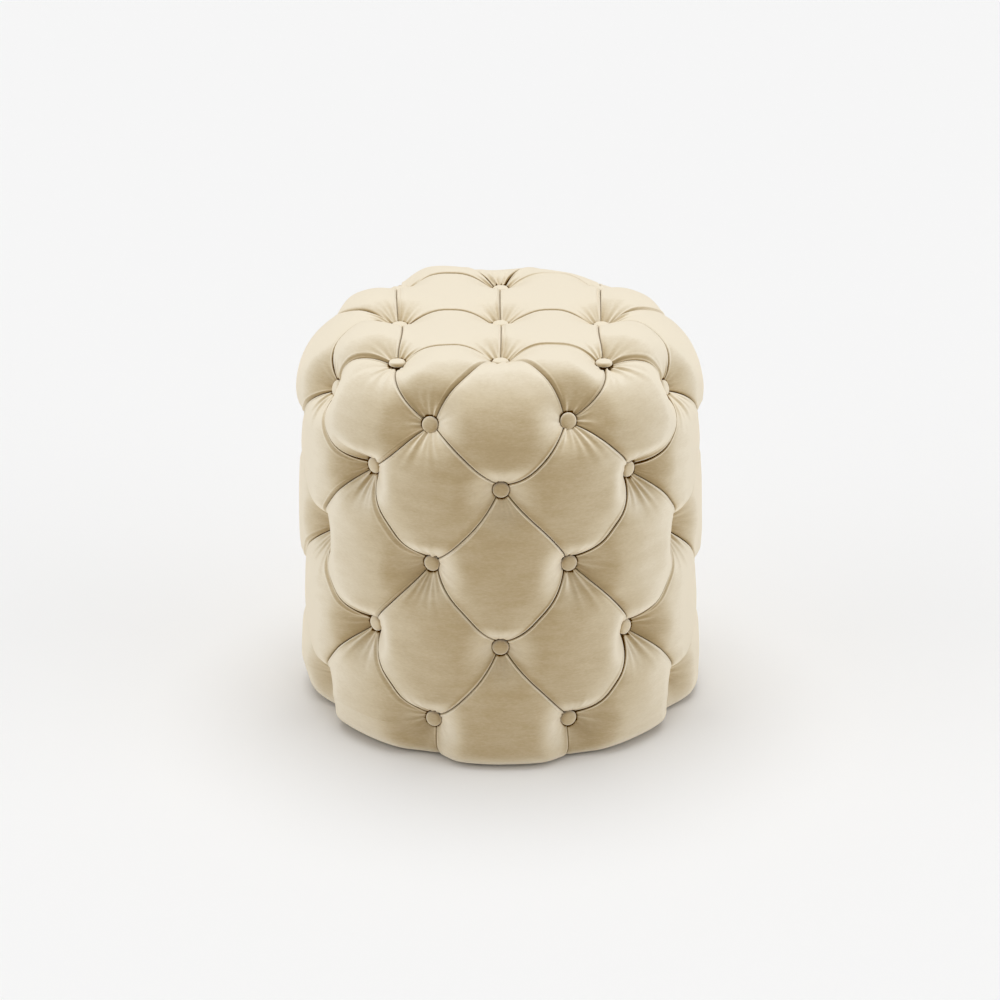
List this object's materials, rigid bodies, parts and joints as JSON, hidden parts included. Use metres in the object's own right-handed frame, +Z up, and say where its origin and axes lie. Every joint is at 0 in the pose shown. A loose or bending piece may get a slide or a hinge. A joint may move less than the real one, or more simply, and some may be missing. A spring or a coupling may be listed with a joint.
{
  "type": "pouf",
  "caption": "Round upholstered pouf with deep-buttoned diamond tufting all over, in cream velvet over foam and a plywood drum, on a low hidden plinth.",
  "frame": {"origin": "middle of the underside, on the floor", "axes": "+Z up, -Y towards the front of the picture's view, +X to the right as seen from the front"},
  "size_m": [0.446, 0.446, 0.448],
  "materials": {
    "cream_velvet": "short matt pile",
    "upholstery_foam": "open-cell foam",
    "plywood": "raw sanded",
    "dust_cloth": "matt non-woven",
    "black_paint": "satin paint on plywood"
  },
  "bodies": {
    "root": {"seat_cover": "cream_velvet", "front_cover": "cream_velvet", "back_cover": "cream_velvet", "seat_foam": "upholstery_foam", "side_foam": "upholstery_foam", "drum_wall": "plywood", "top_board": "plywood", "base_board": "plywood", "dust_cover": "dust_cloth", "plinth": "black_paint", "button_row1_01": "cream_velvet", "button_row1_03": "cream_velvet", "button_row1_05": "cream_velvet", "button_row1_07": "cream_velvet", "button_row1_09": "cream_velvet", "button_row1_11": "cream_velvet", "button_row1_13": "cream_velvet", "button_row1_15": "cream_velvet", "button_row2_00": "cream_velvet", "button_row2_02": "cream_velvet", "button_row2_04": "cream_velvet", "button_row2_06": "cream_velvet", "button_row2_08": "cream_velvet", "button_row2_10": "cream_velvet", "button_row2_12": "cream_velvet", "button_row2_14": "cream_velvet", "button_row3_01": "cream_velvet", "button_row3_03": "cream_velvet", "button_row3_05": "cream_velvet", "button_row3_07": "cream_velvet", "button_row3_09": "cream_velvet", "button_row3_11": "cream_velvet", "button_row3_13": "cream_velvet", "button_row3_15": "cream_velvet", "button_row4_00": "cream_velvet", "button_row4_02": "cream_velvet", "button_row4_04": "cream_velvet", "button_row4_06": "cream_velvet", "button_row4_08": "cream_velvet", "button_row4_10": "cream_velvet", "button_row4_12": "cream_velvet", "button_row4_14": "cream_velvet", "button_row5_01": "cream_velvet", "button_row5_03": "cream_velvet", "button_row5_05": "cream_velvet", "button_row5_07": "cream_velvet", "button_row5_09": "cream_velvet", "button_row5_11": "cream_velvet", "button_row5_13": "cream_velvet", "button_row5_15": "cream_velvet", "button_seat_1": "cream_velvet", "button_seat_2": "cream_velvet", "button_seat_3": "cream_velvet", "button_seat_4": "cream_velvet", "button_seat_5": "cream_velvet", "button_seat_6": "cream_velvet", "button_seat_7": "cream_velvet", "button_seat_8": "cream_velvet", "button_seat_9": "cream_velvet"}
  },
  "joints": []
}
